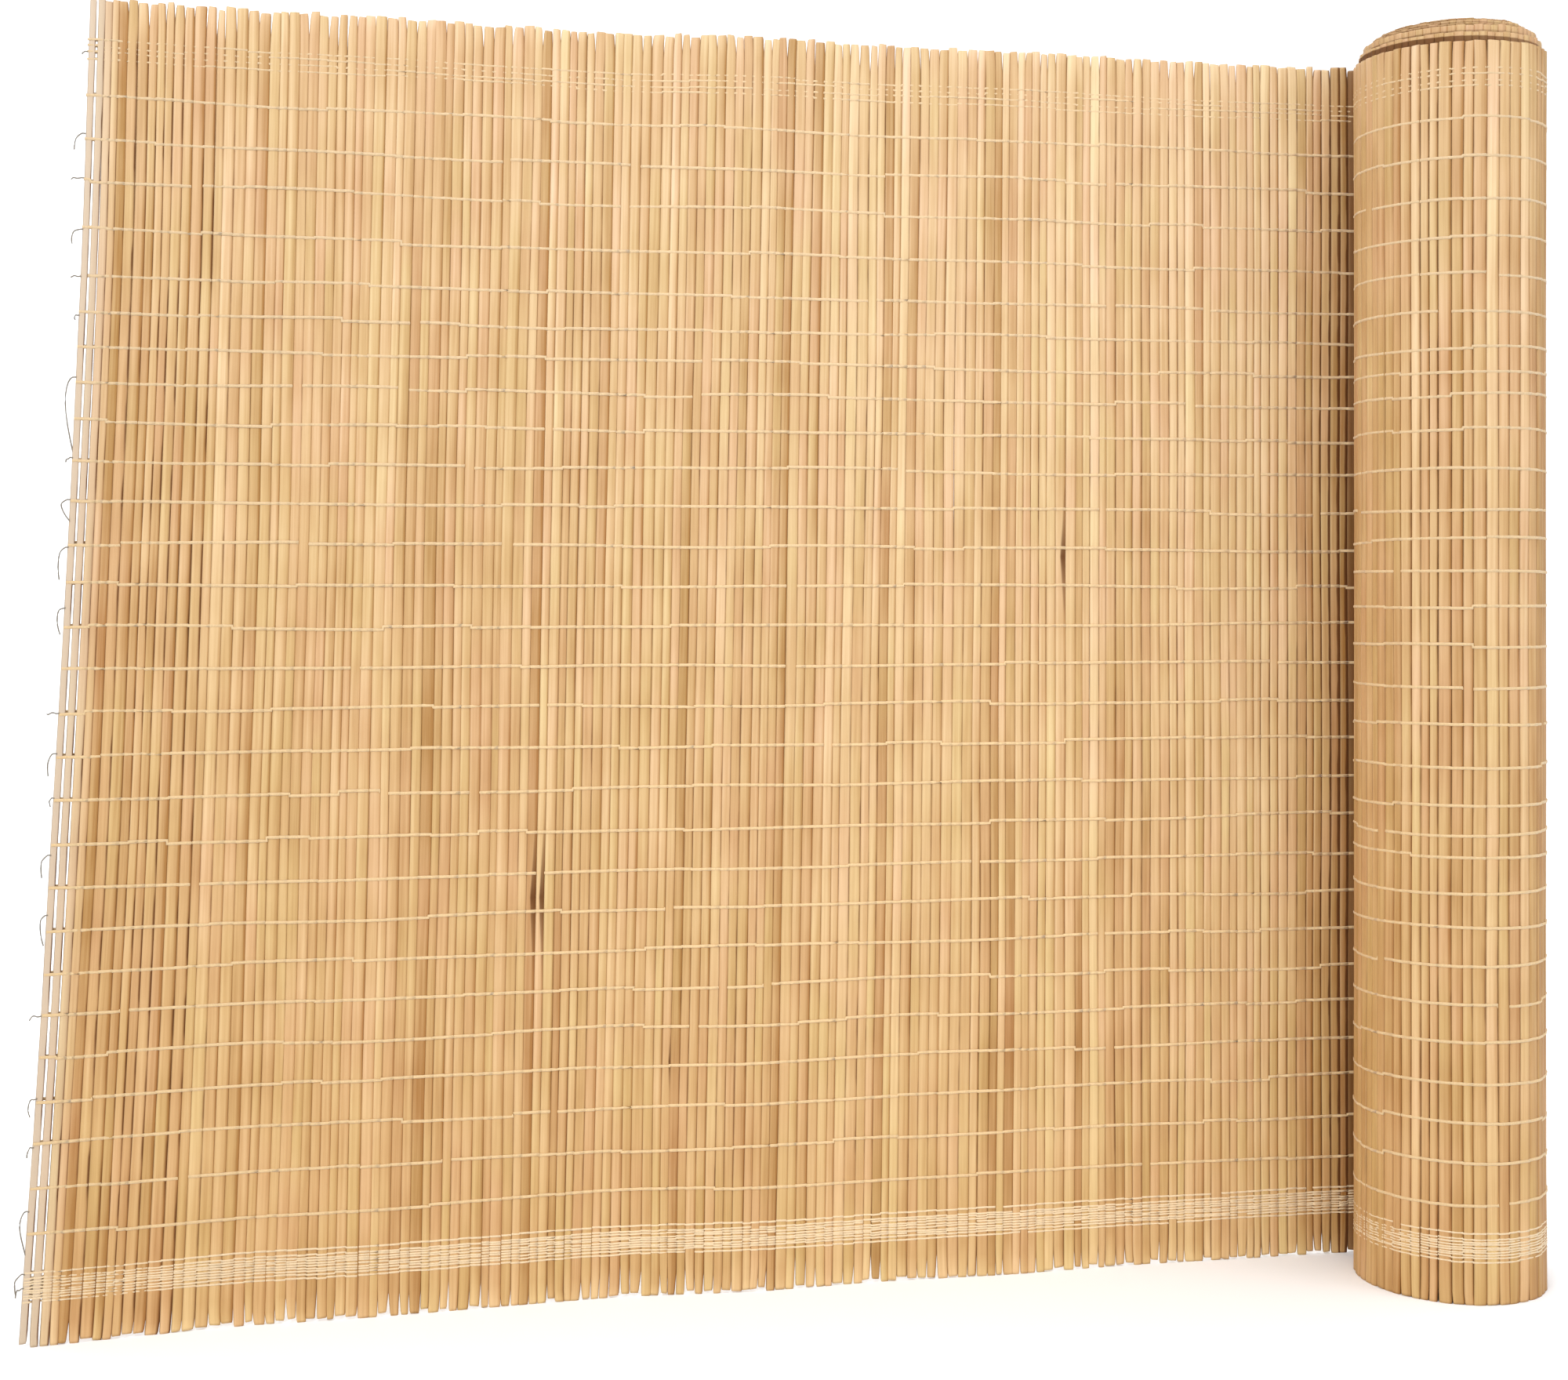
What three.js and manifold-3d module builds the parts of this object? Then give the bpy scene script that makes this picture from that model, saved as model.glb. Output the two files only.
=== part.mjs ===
// A roll of bamboo matting that stands on the ends of its slats, with its loose end drawn out to one side.
// Upright slats lie side by side and are woven together by level threads. The wound form is one solid and
// the open sheet is another, which starts where the outer wrap lets go of the roll.
// Lengths are in millimetres. +X points from the sheet's free end to the roll, +Y from the sheet's shown
// face to its back, and +Z up. The origin is under the middle of the whole, on the surface it stands on.
import * as THREE from "three";
import { mergeVertices } from "three/addons/utils/BufferGeometryUtils.js";
import Module from "manifold-3d";

const wasm = await Module();
wasm.setup();

// Driving sizes
const SHEET_SLAT_LENGTH = 1000;
const ROLL_SLAT_LENGTH = 988;
const SHEET_LENGTH = 1087;
const SHEET_SLATS = 142;
const ROLL_SLATS = 54;
const SLAT_THICKNESS = 2.4;
const SLAT_GAP = 0.9;
const GAP_THICKNESS = 1.2;
const WRAP_RADIUS = 74.4;
const WRAP_PITCH = 3.8;
const CLEARANCE = 0.3;

// Unevenness of the slats: how far widths, faces and ends stray, and the share whose ends stand level
const WIDTH_STRAY = 0.22;
const FACE_STRAY = 0.35;
const NOTCH_DEPTH = { least: 4, most: 26 };
const SHEET_ENDS = { low: 0, high: SHEET_SLAT_LENGTH, tipStray: 7, standingShare: 0.4 };
const ROLL_ENDS = { low: 0.4, high: ROLL_SLAT_LENGTH, tipStray: 2, standingShare: 0.7 };

// What the steady stray values are for, and the first of them for the roll and for the sheet
const STRAY = { width: 0, standing: 1, foot: 2, head: 3, face: 4, footNotch: 5, headNotch: 6 };
const ROLL_STRAY = 20;
const SHEET_STRAY = 40;

// The roll is a little out of round, fullest at this angle from its back and opposite
const OVAL = 3.5;
const OVAL_ANGLE = THREE.MathUtils.degToRad(147);

// Distance of the sheet's middle plane behind the roll's axis, a row for each slight fold
const PLAN = [
  { along: 0, back: 75.8 },
  { along: 70, back: 80.5 },
  { along: 145, back: 82.4 },
  { along: 240, back: 85.5 },
  { along: 350, back: 83.3 },
  { along: 455, back: 87.8 },
  { along: 555, back: 85.0 },
  { along: 615, back: 90.2 },
  { along: 665, back: 94.4 },
  { along: 760, back: 91.5 },
  { along: 855, back: 87.4 },
  { along: 905, back: 87.0 },
  { along: 950, back: 88.6 },
  { along: 1035, back: 80.9 },
  { along: 1125, back: 71.0 },
];

// The slats fan out towards the free end: how much longer the sheet's foot is than its head
const FAN = [
  { along: 0, spread: 0 },
  { along: 270, spread: 1 },
  { along: 515, spread: 17 },
  { along: 810, spread: 21 },
  { along: 950, spread: 33 },
  { along: 1087, spread: 57 },
];

// The last slats stand apart: the width of each, and of the threaded gap before it
const LOOSE_SLATS = [
  { gap: 1.5, width: 7.5 },
  { gap: 2.2, width: 5.2 },
  { gap: 3.5, width: 3.8 },
];

// The inner wraps have slid upwards in terraces: inset from the outer wrap, and rise of their ends
const TERRACES = [
  { inset: 5.5, right: 0.5, rise: 9 },
  { inset: 12.5, right: 0, rise: 16 },
  { inset: 21.5, right: 1, rise: 23 },
  { inset: 44, right: -2, rise: 26 },
];
const OUTLINE_STEPS = 60;

// How deep the outer wrap's slats sit in the wound body
const RIB_EMBED = 0.2;

const BAMBOO = { color: 0xdfb478, roughness: 0.62, metalness: 0 };

// A steady value from 0 to 1 for each slat and purpose
function stray(index, purpose) {
  const wave = Math.sin(index * 12.9898 + purpose * 78.233) * 43758.5453;
  return wave - Math.floor(wave);
}

// Smooth curve through a table's rows, at a distance along the sheet
function valueAt(table, column, along) {
  const last = table.length - 1;
  let row = 0;
  while (row < last - 1 && along > table[row + 1].along) {
    row += 1;
  }
  const slope = (k) => {
    const before = table[Math.max(k - 1, 0)];
    const after = table[Math.min(k + 1, last)];
    return (after[column] - before[column]) / (after.along - before.along);
  };
  const from = table[row];
  const to = table[row + 1];
  const span = to.along - from.along;
  const t = (along - from.along) / span;
  return (
    from[column] * (2 * t ** 3 - 3 * t ** 2 + 1) +
    to[column] * (3 * t ** 2 - 2 * t ** 3) +
    slope(row) * span * (t ** 3 - 2 * t ** 2 + t) +
    slope(row + 1) * span * (t ** 3 - t ** 2)
  );
}

// Start and end of each slat along the mat, with uneven widths that fill the way between two places
function slatRow(count, from, to, gap, seed) {
  const parts = Array.from({ length: count }, (_, i) => {
    return 1 + WIDTH_STRAY * (2 * stray(i, seed + STRAY.width) - 1);
  });
  const scale = (to - from) / parts.reduce((sum, part) => sum + part, 0);
  let reached = from;
  return parts.map((part) => {
    const start = reached + gap / 2;
    reached += part * scale;
    return { start, end: reached - gap / 2 };
  });
}

// A point of the sheet's middle plane and its normal to the shown face, at a height
function onSheet(along, height) {
  const lean = valueAt(FAN, "spread", along) * (0.5 - height / SHEET_SLAT_LENGTH);
  const out = along + lean;
  const step = 1;
  const slope = (valueAt(PLAN, "back", out + step) - valueAt(PLAN, "back", out - step)) / (2 * step);
  const point = new THREE.Vector3(-out, valueAt(PLAN, "back", out), height);
  return { point, normal: new THREE.Vector3(-slope, -1, 0).normalize() };
}

// Radius of the outer wrap's middle plane at an angle from the back, clockwise seen from above
function wrapRadius(angle) {
  const wound = WRAP_PITCH * (angle / (2 * Math.PI));
  return WRAP_RADIUS - wound + OVAL * Math.cos(2 * (angle - OVAL_ANGLE));
}

// A point of the outer wrap's middle plane and its outward normal
function onWrap(angle, height) {
  const normal = new THREE.Vector3(Math.sin(angle), Math.cos(angle), 0);
  return { point: normal.clone().multiplyScalar(wrapRadius(angle)).setZ(height), normal };
}

// The two ends of a line across the mat's thickness, at its foot and at its head
function columnAt(place, at, thickness, proud, foot, head) {
  const across = (height) => {
    const { point, normal } = place(at, height);
    return {
      front: point.clone().addScaledVector(normal, proud + thickness / 2),
      back: point.clone().addScaledVector(normal, proud - thickness / 2),
    };
  };
  return { foot: across(foot), head: across(head) };
}

// Closed solid of a row of columns, joined by flat faces
function solidOfColumns(columns) {
  const positions = [];
  const quad = (a, b, c, d) => {
    for (const corner of [a, b, c, a, c, d]) {
      positions.push(corner.x, corner.y, corner.z);
    }
  };
  for (let i = 1; i < columns.length; i += 1) {
    const a = columns[i - 1];
    const b = columns[i];
    quad(a.foot.front, a.head.front, b.head.front, b.foot.front);
    quad(a.foot.back, b.foot.back, b.head.back, a.head.back);
    quad(a.foot.front, b.foot.front, b.foot.back, a.foot.back);
    quad(a.head.front, a.head.back, b.head.back, b.head.front);
  }
  const first = columns[0];
  const last = columns[columns.length - 1];
  quad(first.foot.front, first.foot.back, first.head.back, first.head.front);
  quad(last.foot.front, last.head.front, last.head.back, last.foot.back);
  const geometry = new THREE.BufferGeometry();
  geometry.setAttribute("position", new THREE.Float32BufferAttribute(positions, 3));
  return toSolid(geometry);
}

// How far beyond the slats' uneven ends the notch between two of them reaches
function notch(index, purpose) {
  return NOTCH_DEPTH.least + (NOTCH_DEPTH.most - NOTCH_DEPTH.least) * stray(index, purpose) ** 3;
}

// Three columns for each slat: its two edges, and the thin threaded gap that follows it
function slatColumns(slats, place, seed, { low, high, tipStray, standingShare }) {
  const columns = [];
  slats.forEach((slat, i) => {
    const standing = stray(i, seed + STRAY.standing) < standingShare;
    const foot = low + (standing ? 0 : tipStray * stray(i, seed + STRAY.foot));
    const head = high - tipStray * stray(i, seed + STRAY.head);
    const proud = FACE_STRAY * (2 * stray(i, seed + STRAY.face) - 1);
    columns.push(columnAt(place, slat.start, SLAT_THICKNESS, proud, foot, head));
    columns.push(columnAt(place, slat.end, SLAT_THICKNESS, proud, foot, head));
    const next = slats[i + 1];
    if (next) {
      const gapFoot = low + tipStray + notch(i, seed + STRAY.footNotch);
      const gapHead = high - tipStray - notch(i, seed + STRAY.headNotch);
      columns.push(columnAt(place, (slat.end + next.start) / 2, GAP_THICKNESS, 0, gapFoot, gapHead));
    }
  });
  return columns;
}

// Solid and mesh conversions
function toSolid(geometry) {
  const bare = geometry.index ? geometry.toNonIndexed() : geometry.clone();
  bare.deleteAttribute("normal");
  bare.deleteAttribute("uv");
  const merged = mergeVertices(bare, 1e-4);
  return new wasm.Manifold(
    new wasm.Mesh({
      numProp: 3,
      vertProperties: new Float32Array(merged.attributes.position.array),
      triVerts: new Uint32Array(merged.index.array),
    }),
  );
}

function toMesh(name, solid) {
  const made = solid.getMesh();
  const geometry = new THREE.BufferGeometry();
  geometry.setAttribute("position", new THREE.Float32BufferAttribute(made.vertProperties, 3));
  geometry.setIndex(new THREE.Uint32BufferAttribute(made.triVerts, 1));
  geometry.computeVertexNormals();
  const mesh = new THREE.Mesh(geometry, new THREE.MeshStandardMaterial(BAMBOO));
  mesh.name = name;
  return mesh;
}

// Upright prism of the wound outline, drawn in by an inset
function woundPrism(inset, right, low, high) {
  const outline = [];
  for (let i = 0; i <= OUTLINE_STEPS; i += 1) {
    const angle = (2 * Math.PI * i) / OUTLINE_STEPS;
    const radius = wrapRadius(angle) - inset;
    outline.push(new THREE.Vector2(right + radius * Math.sin(angle), radius * Math.cos(angle)));
  }
  const depth = high - low;
  const prism = new THREE.ExtrudeGeometry(new THREE.Shape(outline), { depth, bevelEnabled: false });
  prism.translate(0, 0, low);
  return toSolid(prism);
}

// The wound form: ribbed outer wrap, inner wraps in terraces at its head, and a level foot
function buildRoll() {
  const slats = slatRow(ROLL_SLATS, 0, 2 * Math.PI, SLAT_GAP / WRAP_RADIUS, ROLL_STRAY);
  const ribs = solidOfColumns(slatColumns(slats, onWrap, ROLL_STRAY, ROLL_ENDS));
  const bodyTop = ROLL_SLAT_LENGTH - ROLL_ENDS.tipStray - ROLL_ENDS.low;
  let roll = woundPrism(RIB_EMBED, 0, 0, bodyTop).add(ribs);
  for (const { inset, right, rise } of TERRACES) {
    roll = roll.add(woundPrism(inset, right, ROLL_SLAT_LENGTH / 2, ROLL_SLAT_LENGTH + rise));
  }
  return toMesh("matting_roll", roll);
}

// The open sheet, from the place where the outer wrap lets go of the roll to its last loose slats
function buildSheet() {
  const looseLength = LOOSE_SLATS.reduce((sum, { gap, width }) => sum + gap + width, 0);
  let reached = SHEET_LENGTH - looseLength;
  const slats = slatRow(SHEET_SLATS, CLEARANCE, reached, SLAT_GAP, SHEET_STRAY);
  for (const { gap, width } of LOOSE_SLATS) {
    slats.push({ start: reached + gap, end: reached + gap + width });
    reached += gap + width;
  }
  return toMesh("matting_sheet", solidOfColumns(slatColumns(slats, onSheet, SHEET_STRAY, SHEET_ENDS)));
}

const matting = new THREE.Group();
matting.add(buildRoll(), buildSheet());
const bounds = new THREE.Box3().setFromObject(matting);
const middle = bounds.getCenter(new THREE.Vector3());
matting.position.set(-middle.x, -middle.y, -bounds.min.z);

export default matting;
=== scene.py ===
"""A roll of bamboo matting that stands on the ends of its slats, with its loose end drawn out to one side.

Every slat is its own length of split bamboo, laid side by side along the mat and woven together by level
threads. Shapes are worked out in millimetres about the roll's axis, with the sheet running to the left
behind it, and are placed in the frame at the end.
"""

import math
from functools import partial

import bmesh
import bpy
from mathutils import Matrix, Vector, noise


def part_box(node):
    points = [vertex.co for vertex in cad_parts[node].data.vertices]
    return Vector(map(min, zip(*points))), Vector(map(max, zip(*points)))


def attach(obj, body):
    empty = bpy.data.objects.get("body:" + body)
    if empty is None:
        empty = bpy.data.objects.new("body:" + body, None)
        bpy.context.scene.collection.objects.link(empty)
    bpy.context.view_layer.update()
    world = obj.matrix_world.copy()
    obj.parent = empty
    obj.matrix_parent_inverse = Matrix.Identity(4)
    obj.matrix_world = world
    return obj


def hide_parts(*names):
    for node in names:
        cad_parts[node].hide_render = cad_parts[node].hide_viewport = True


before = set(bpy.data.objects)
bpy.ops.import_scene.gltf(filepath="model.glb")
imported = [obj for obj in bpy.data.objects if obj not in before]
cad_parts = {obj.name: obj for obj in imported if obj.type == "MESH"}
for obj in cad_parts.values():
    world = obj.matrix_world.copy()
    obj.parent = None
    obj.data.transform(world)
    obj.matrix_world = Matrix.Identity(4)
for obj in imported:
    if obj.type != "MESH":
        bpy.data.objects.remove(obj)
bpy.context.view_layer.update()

bl_info = {
    "name": "Bamboo matting roll",
    "version": (1, 0, 0),
    "blender": (4, 5, 0),
    "location": "3D View > Sidebar > Matting",
    "description": "Builds a roll of bamboo slat matting that stands on end, part unrolled",
    "category": "Add Mesh",
}


def table(columns, *rows):
    """Rows of values as dictionaries with named columns."""
    names = columns.split()
    return [dict(zip(names, row)) for row in rows]


MM = 0.001
PHOTO_WIDTH = 2000
PHOTO_HEIGHT = 1760

# How the mat is laid, in millimetres, as in its solids. Its last four slats follow LOOSE_SLATS instead
SHEET_SLAT_LENGTH = 1000
ROLL_SLAT_LENGTH = 988
SHEET_LENGTH = 1087
SHEET_SLATS = 141
ROLL_SLATS = 54
SLAT_THICKNESS = 2.4
SLAT_GAP = 0.9
WRAP_RADIUS = 74.4
WRAP_PITCH = 3.8
CLEARANCE = 0.3
OVAL = 3.5
OVAL_ANGLE = math.radians(147)
SHEET_ENDS = {"high": SHEET_SLAT_LENGTH, "tip_stray": 3.4, "standing_share": 0.4}
ROLL_ENDS = {"high": ROLL_SLAT_LENGTH, "tip_stray": 0.7, "standing_share": 0.6}

# How far the roll's front is drawn in at its ends, and how much further at its waist
ROLL_PULL = {"ends": 0.7, "waist": 1.1}

# How much of their gaps the slats cover on each side, so that no light shows between them
SHEET_COVER = SLAT_GAP / 2 + 0.2
WRAP_COVER = SLAT_GAP / 2 + 0.05
INNER_COVER = 0.2

# The steady draw for each purpose, counted on from the number of the slats' row
STRAY = {
    "width": 0, "standing": 1, "foot": 2, "head": 3, "face": 4, "foot_notch": 5, "head_notch": 6,
    "foot_open": 10, "head_open": 11, "slant": 12, "twist": 13, "tone": 14, "foot_lean": 15,
    "head_lean": 16, "side": 17, "parted": 18, "foot_pale": 57, "head_pale": 58, "wrap_parted": 73,
    "inner_width": 1, "rise": 2, "inner_tone": 3,
}
ROLL_STRAY = 20
SHEET_STRAY = 40
INNER_STRAY = 60

# How slats differ: share of their width, then millimetres their faces, ends and tips stray, and their turn
WIDTH_STRAY = 0.22
FACE_STRAY = 0.35
END_LEAN = 0.9
TIP_SLANT = 0.8
SLAT_TURN = math.radians(3)

# Notches between the ends of slats: their depth and the share of the width they take, each with its stray
NOTCH = {"depth": 10, "deeper": 22, "open": 0.03, "wider": 0.27}

# Painted shading across a slat, a highlight on one side and shade on the other as if lit from that side,
# then the strength of the grooves beside it and its colour, each with its stray
SLAT_LOOKS = {"side": 0.55, "side_stray": 0.35, "parted": 0.22, "parted_stray": 0.5, "tone_stray": 0.22}

# How much paler the ends of the sheet's slats are, and how this strays
PALE_ENDS = {"foot": (0.75, 0.35), "head": (0.3, 0.4)}

# How slats wave along their length: reach of a wave along the mat and up, and the most it amounts to
SWING_WAVE = {"along": 55, "height": 240, "layer": 3.1}
OWN_WAVES = {
    "swing": {"apart": 5.3, "height": 150, "layer": 8.7, "most": 0.14},
    "lift": {"apart": 4.1, "height": 260, "layer": 5.9, "most": 0.5},
    "twist": {"apart": 3.7, "height": 170, "layer": 1.3, "most": 2},
}

# Distance of the sheet's middle plane behind the roll's axis, a row for each slight fold
PLAN = table(
    "along back",
    (0, 75.8), (70, 80.5), (145, 82.4), (240, 85.5), (350, 83.3), (455, 87.8), (555, 85), (615, 90.2),
    (665, 94.4), (760, 91.5), (855, 87.4), (905, 87), (950, 88.6), (1035, 80.9), (1125, 71),
)

# How much longer the sheet's foot is than its head, so that the slats fan out
FAN = table("along spread", (0, 0), (270, 1), (515, 17), (810, 21), (950, 33), (1087, 57))

# How far the free edge bows out at a height; this fades to nothing by BOW_START along the sheet
EDGE_BOW = table("height out", (0, -1.2), (300, -2.6), (600, -1.3), (800, 2), (900, 4.9), (1000, 7.6))
BOW_START = 850

# The last slats: the threaded gap before each, its width, how far its head leans in, and how grey it is, a
# painted shade, since these thin slats stand in shade against the bright backdrop
LOOSE_SLATS = table(
    "gap width lean grey",
    (-0.5, 6.2, 0, 0.1),
    (-0.5, 6.4, 0, 0.35),
    (0.8, 5.5, 1.5, 0.75),
    (1.2, 5.2, 1.7, 0.9),
)
LOOSE_LEAN_DEPTH = 700

# Rise of the inner wraps' slats, by the number of the turn: a few turns stand level, then the next step up
RISES = table(
    "turn rise",
    (0, 0), (0.9, 0), (1, 7.4), (1.9, 8.2), (2.1, 13.6), (2.9, 14.6), (3.1, 15.4), (3.9, 17.6),
    (4.1, 19.5), (4.9, 20.2), (5.1, 21.8), (6.9, 23), (9, 24), (12, 24.6), (17, 24),
)
RISE_STRAY = 0.3
INNER_TURNS = 16.2
INNER_SLAT_PITCH = 6.4

# Shade that the turn outside casts on an inner turn's ends, up to a turn: how far past that turn's ends it
# reaches and how dark it is, each with what is added on the roll's left
INNER_SHADES = table(
    "until reach reach_left dark dark_left",
    (2, 4, 1.5, 0.78, 0.2),
    (17, 1.8, 0, 0.36, 0.24),
)
DARKEST = 0.9
SHADE_FADE = 0.8

# Short lengths of the sheet where a thin slat has turned on its side and shows as a dark slit: it sinks in
# a little, and its widened dark groove is partly painted shade of the recess
SLITS = table(
    "along height reach share sink",
    (728, 318, 76, 0.5, 0.3),
    (300, 586, 58, 0.42, 0.3),
    (622, 185, 28, 0.16, 0.2),
)
NO_SLIT = {"height": -1000, "reach": 1, "share": 0, "sink": 0}
# Grooves widened along the whole of a slat in the corner: painted shade of the corner
CORNER_SLIT = {"height": 500, "reach": 5000, "share": 0.2, "sink": 0}

# Painted shade in the corner between the sheet and the roll: where along the sheet its two layers start and
# are full, how dark each is, how strong the grooves are there, and the darkest tone that the slats' backs
# take
CORNER = {"start": 76, "full": 56, "shade": 0.06, "parted": 1.4, "back_tone": -0.25}
DEEP_CORNER = {"start": 52, "full": 44, "shade": 0.6}

# Heights of the single threads, by their number from the head down, on the sheet and on the roll
SHEET_ROWS = table(
    "row height",
    (0, 926), (2, 862), (4, 792), (7, 713), (10, 624), (15, 467), (20, 306), (24, 182), (27, 83),
)
ROLL_ROWS = table(
    "row height",
    (0, 927), (4, 806), (6, 748), (8, 713), (11, 624), (14, 545), (19, 389), (20, 367), (21, 350),
    (25, 234), (30, 78),
)
HEAD_BAND = [967, 962.5, 958, 953.5]
FOOT_BAND = [55.4, 51.2, 49.1, 47, 44.9, 42.8, 40.7, 38.6, 36.5, 33.6]

# Colour of the slats along the open sheet, from -1 for dark to 1 for pale: partly the slats' own colour and
# partly painted shade, of the sheet's folds and, in the first 80 mm by the roll, of the corner
TONES = table(
    "along tone",
    (0, -1.25), (45, -1.15), (54, -0.8), (64, -0.5), (80, -0.2), (110, 0.15), (160, 0.25), (420, 0.2),
    (560, 0.05), (900, 0), (960, -0.1), (1060, -0.25), (1090, 0),
)

# Along the open sheet: strength of the grooves and the least of it, painted highlight and shade across a
# slat, and how far the threads stand out; the strong grooves by the roll are partly painted shade of the
# corner
SHEET_LOOKS = table(
    "along parted least side thread",
    (0, 1, 1.4, 1, 1),
    (40, 1, 1.4, 1, 1),
    (152, 1, 0, 1, 1),
    (690, 1, 0, 1, 1),
    (770, 0.58, 0, 0.79, 1),
    (965, 0.58, 0, 0.79, 1),
    (1005, 1.682, 0, 1.264, 0.58),
)

# Single slats that stand out, by a place that each covers, and the heights between which they do so most
NOTED_SLATS = table(
    "along tone low high",
    (80, -0.6, 0, 800), (95, 0.5, 780, 1000), (108, 0.35, 0, 850), (123, 0.4, 0, 1000),
    (142, 0.35, 0, 780), (182, -0.6, 780, 1000), (190, 0.3, 0, 1000), (213, -0.4, 0, 300),
    (230, -0.4, 250, 650), (254, -0.5, 0, 450), (271, 0.9, 0, 1000), (285, -0.8, 0, 300),
    (308, 0.35, 0, 1000), (331, -0.5, 820, 1000), (340, 0.4, 0, 1000), (349, -0.9, 100, 360),
    (357, -0.75, 0, 1000), (364, -0.3, 0, 1000), (395, 0.4, 600, 1000), (414, 0.4, 0, 650),
    (427, -0.55, 720, 900), (436, 0.5, 0, 1000), (454, -0.65, 0, 1000), (483, 0.6, 0, 1000),
    (498, 0.4, 0, 1000), (516, -0.7, 800, 1000), (537, -0.85, 0, 1000), (543, -0.5, 780, 1000),
    (556, 0.5, 700, 1000), (573, -0.5, 540, 780), (586, 0.4, 0, 700), (617, -0.75, 0, 650),
    (684, -0.5, 600, 1000), (713, -0.8, 0, 280), (729, -0.8, 0, 1000), (742, 0.4, 0, 1000),
    (811, -0.35, 420, 900), (819, -0.8, 0, 620), (834, -0.4, 0, 850), (848, 0.4, 0, 1000),
    (951, -0.4, 0, 1000), (974, 0.55, 0, 800), (1007, -0.6, 0, 650), (1022, -0.4, 0, 700),
    (1037, -0.5, 0, 800), (1059, -0.9, 0, 1000),
)
NO_MARK = {"tone": 0, "low": 0, "high": 1000}
MARK_FADE = {"over": 90, "share": 0.65}

# The grooves close above the head's threads: where, over what height and by what share
HEAD_CLOSED = {"from": 966, "over": 12, "share": 0.5}

# Round the roll, by the angle from its back: colour and looks, as in TONES and SHEET_LOOKS, with painted
# highlight and shade across a slat; the darkest tones, from 125 to 150 degrees, are partly painted shade
WRAP_LOOKS = table(
    "angle tone parted side thread",
    (0, 0, 0.6, 0.5, 0.9),
    (125, -0.95, 0.12, 0.2, 0.6),
    (150, -0.7, 0.18, 0.3, 0.75),
    (168, -0.3, 0.45, 0.65, 0.8),
    (215, -0.3, 0.55, 0.75, 0.75),
    (240, -0.2, 0.45, 0.6, 0.6),
    (256, -0.15, 0.25, 0.3, 0.5),
    (300, -0.15, 0.15, 0.2, 0.45),
    (360, 0, 0.6, 0.5, 0.9),
)
WRAP_PARTED_STRAY = 0.15
NOTED_WRAP_SLATS = table("angle tone", (157, 0.3), (181, 0.4), (228, 0.55))

# How far the threads stand out of the slats' faces at a height, from 0 for sunk in to 1
THREAD_RELIEF = table("height relief", (0, 1), (550, 0.9), (640, 0.7), (850, 0.4), (1000, 0.3))
LEAST_RELIEF = 0.2

# How far a sunk thread's middle lies below that of one on the face, and the share of its width at which the
# latter stands on the face
SUNK_DEPTH = 0.85
THREAD_STAND = 0.25

# Kinds of thread: how much neighbouring rows differ, slats in a run, how far in mm a thread drifts, steps
# between runs, shakes from slat to slat and dips between two, and how unevenly it stands out
ROW_KINDS = table(
    "kind apart shortest longest drift step jitter dip unevenness",
    ("single", 2.7, 4, 17, 2.4, 1.5, 0.12, 0.25, 0.7),
    ("head", 0, 3, 13, 2, 0.9, 0.2, 0.4, 0.7),
    ("foot", 0, 6, 18, 2.4, 0.4, 0.35, 0.5, 0.3),
)
HEAD_THREAD_SHARE = 1.15
DUCKING_SHARE = 0.13
OPEN_SEED = 71
WOUND_SEED = 75
BACK_STEP = 0.4
DRIFT_LENGTH = 190
UNEVEN_LENGTH = 50

# Where a thread lies on a slat and where it dips past it, as shares of the slat's width, and how far out of
# the mat's middle it has to lie to dip, in mm
ON_SLAT = (0.12, 0.88)
PAST_SLAT = 1.06
DIPS_FROM = 0.5

# Loose ends of thread at the free edge: how far each reaches out, hangs down and curls back in
TAILS = table(
    "height reach droop back",
    (958, 3, 2, 0), (897, 7, 12, 0), (864, 8, 1, 0), (826, 8, 11, 0.2), (791, 6, 1, 0),
    (762, 3, 4, 0.4), (716, 11, 58, 0.9), (656, 4, 3, 0), (625, 10, 15, 1), (590, 8, 24, 0.3),
    (545, 7, 20, 0.6), (467, 8, 1, 0), (437, 7, 17, 0.2), (404, 4, 6, 0.5), (362, 8, 16, 0.3),
    (318, 7, 22, 0.7), (244, 8, 3, 0), (183, 7, 14, 0.4), (147, 4, 8, 0), (100, 9, 32, 0.8),
    (54, 8, 14, 0.3), (44, 5, 6, 0),
)
TAIL_THREAD = 1.1
TAIL_POINTS = 10

# The stage, in metres: a floor that bends up into a backdrop, soft lamps, and the camera by the axis
SWEEP = {"half_width": 9, "half_depth": 5, "bend_start": 2.6, "bend_radius": 1.2, "rise": 3}
LAMPS = table(
    "name place aim size power",
    ("key", (-1.7, -2.3, 2.3), (0, 0, 0.5), 1.2, 44),
    ("fill", (2, -1.5, 1.5), (0, 0, 0.5), 1, 10),
    ("top", (0.2, -0.4, 2.8), (0, -0.4, 0), 2.4, 31),
    ("backdrop", (0, 1, 2.8), (0, 4, 1.2), 2.6, 70),
)
SKY_STRENGTH = 0.76
EYE = (-0.90924, -1.6145)
EYE_TURN = math.radians(-12.435)
HORIZON_ROW = 762


# Sizes and colours that a user would change


def linear(code):
    """Linear colour of an sRGB hex value."""
    parts = [int(code[i : i + 2], 16) / 255 for i in (1, 3, 5)]
    return [p / 12.92 if p <= 0.04045 else ((p + 0.055) / 1.055) ** 2.4 for p in parts]


def colour(name, description, code):
    return bpy.props.FloatVectorProperty(
        name=name, description=description, default=linear(code), subtype="COLOR", size=3, min=0, max=1
    )


def length(name, description, default):
    return bpy.props.FloatProperty(name=name, description=description, default=default, unit="LENGTH")


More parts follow.
